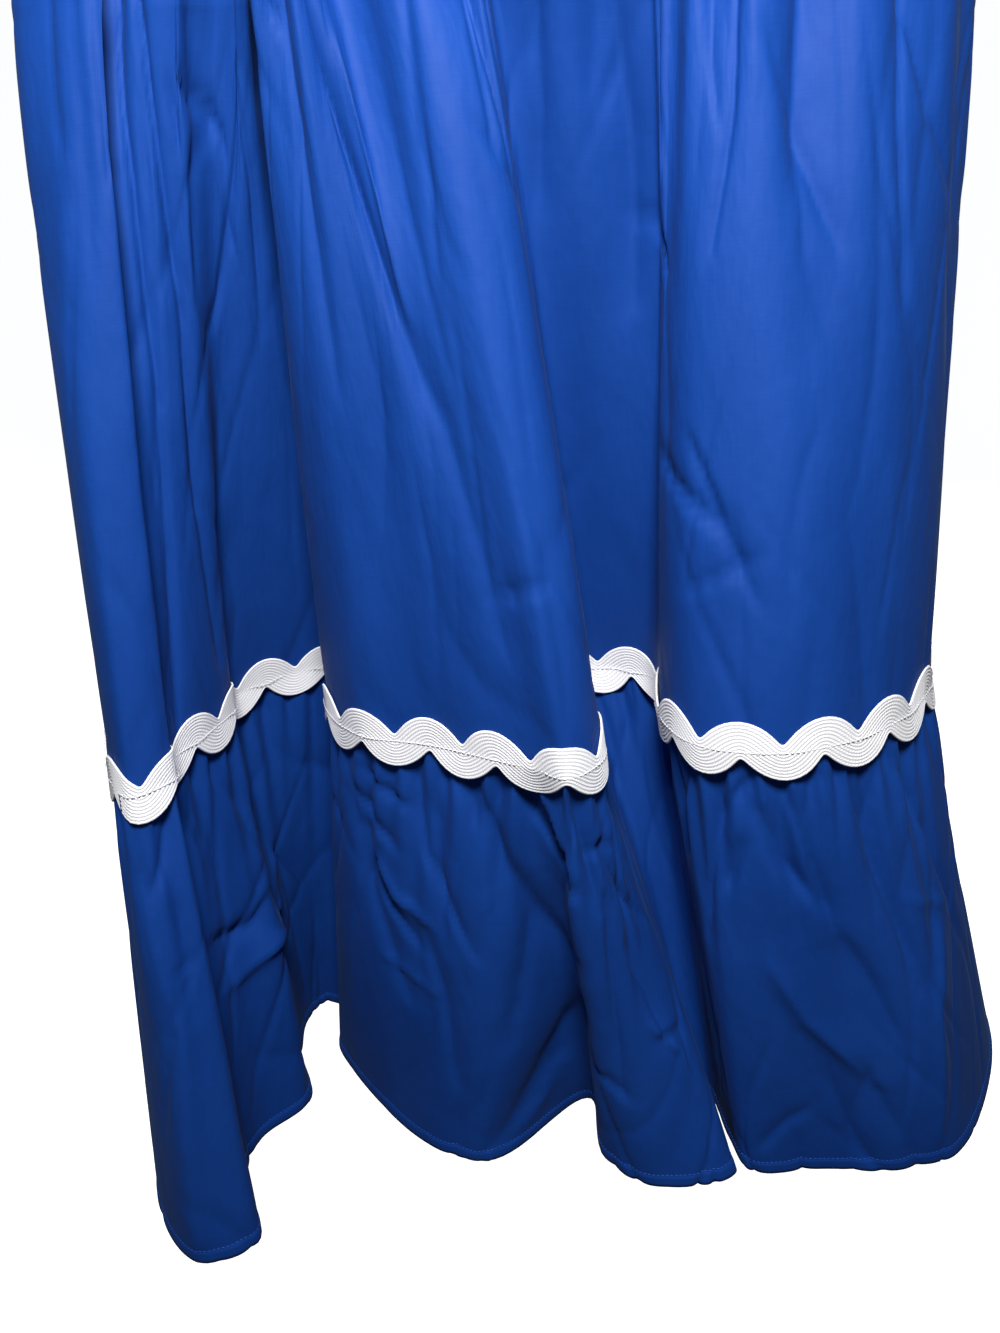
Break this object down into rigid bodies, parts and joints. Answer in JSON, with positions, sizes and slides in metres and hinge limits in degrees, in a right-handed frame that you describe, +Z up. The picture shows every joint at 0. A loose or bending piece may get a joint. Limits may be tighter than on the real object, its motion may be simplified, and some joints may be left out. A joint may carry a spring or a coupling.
{
  "type": "tiered midi dress",
  "caption": "Sleeveless tiered midi dress in crisp royal blue cotton: plain bodice, gathered upper tier, broad white ric-rac over the seam, and a gathered bottom tier in deep folds.",
  "frame": {"origin": "midway between the two shoulder seams, at the height of the neck points, where a wearer or a hanger carries the dress", "axes": "+Z up along the hanging dress, -Y out of its front, +X towards its left sleeve side as worn (the viewer's right)"},
  "size_m": [0.6922, 0.3234, 1.175],
  "materials": {
    "cotton": "crisp plain-woven cotton with a slight sheen",
    "braid": "white ribbed woven braid"
  },
  "bodies": {
    "root": {"bodice_front": "cotton", "bodice_back": "cotton", "upper_tier_front": "cotton", "upper_tier_back": "cotton", "lower_tier_front": "cotton", "lower_tier_back": "cotton", "ricrac_front": "braid", "ricrac_back": "braid"}
  },
  "joints": []
}
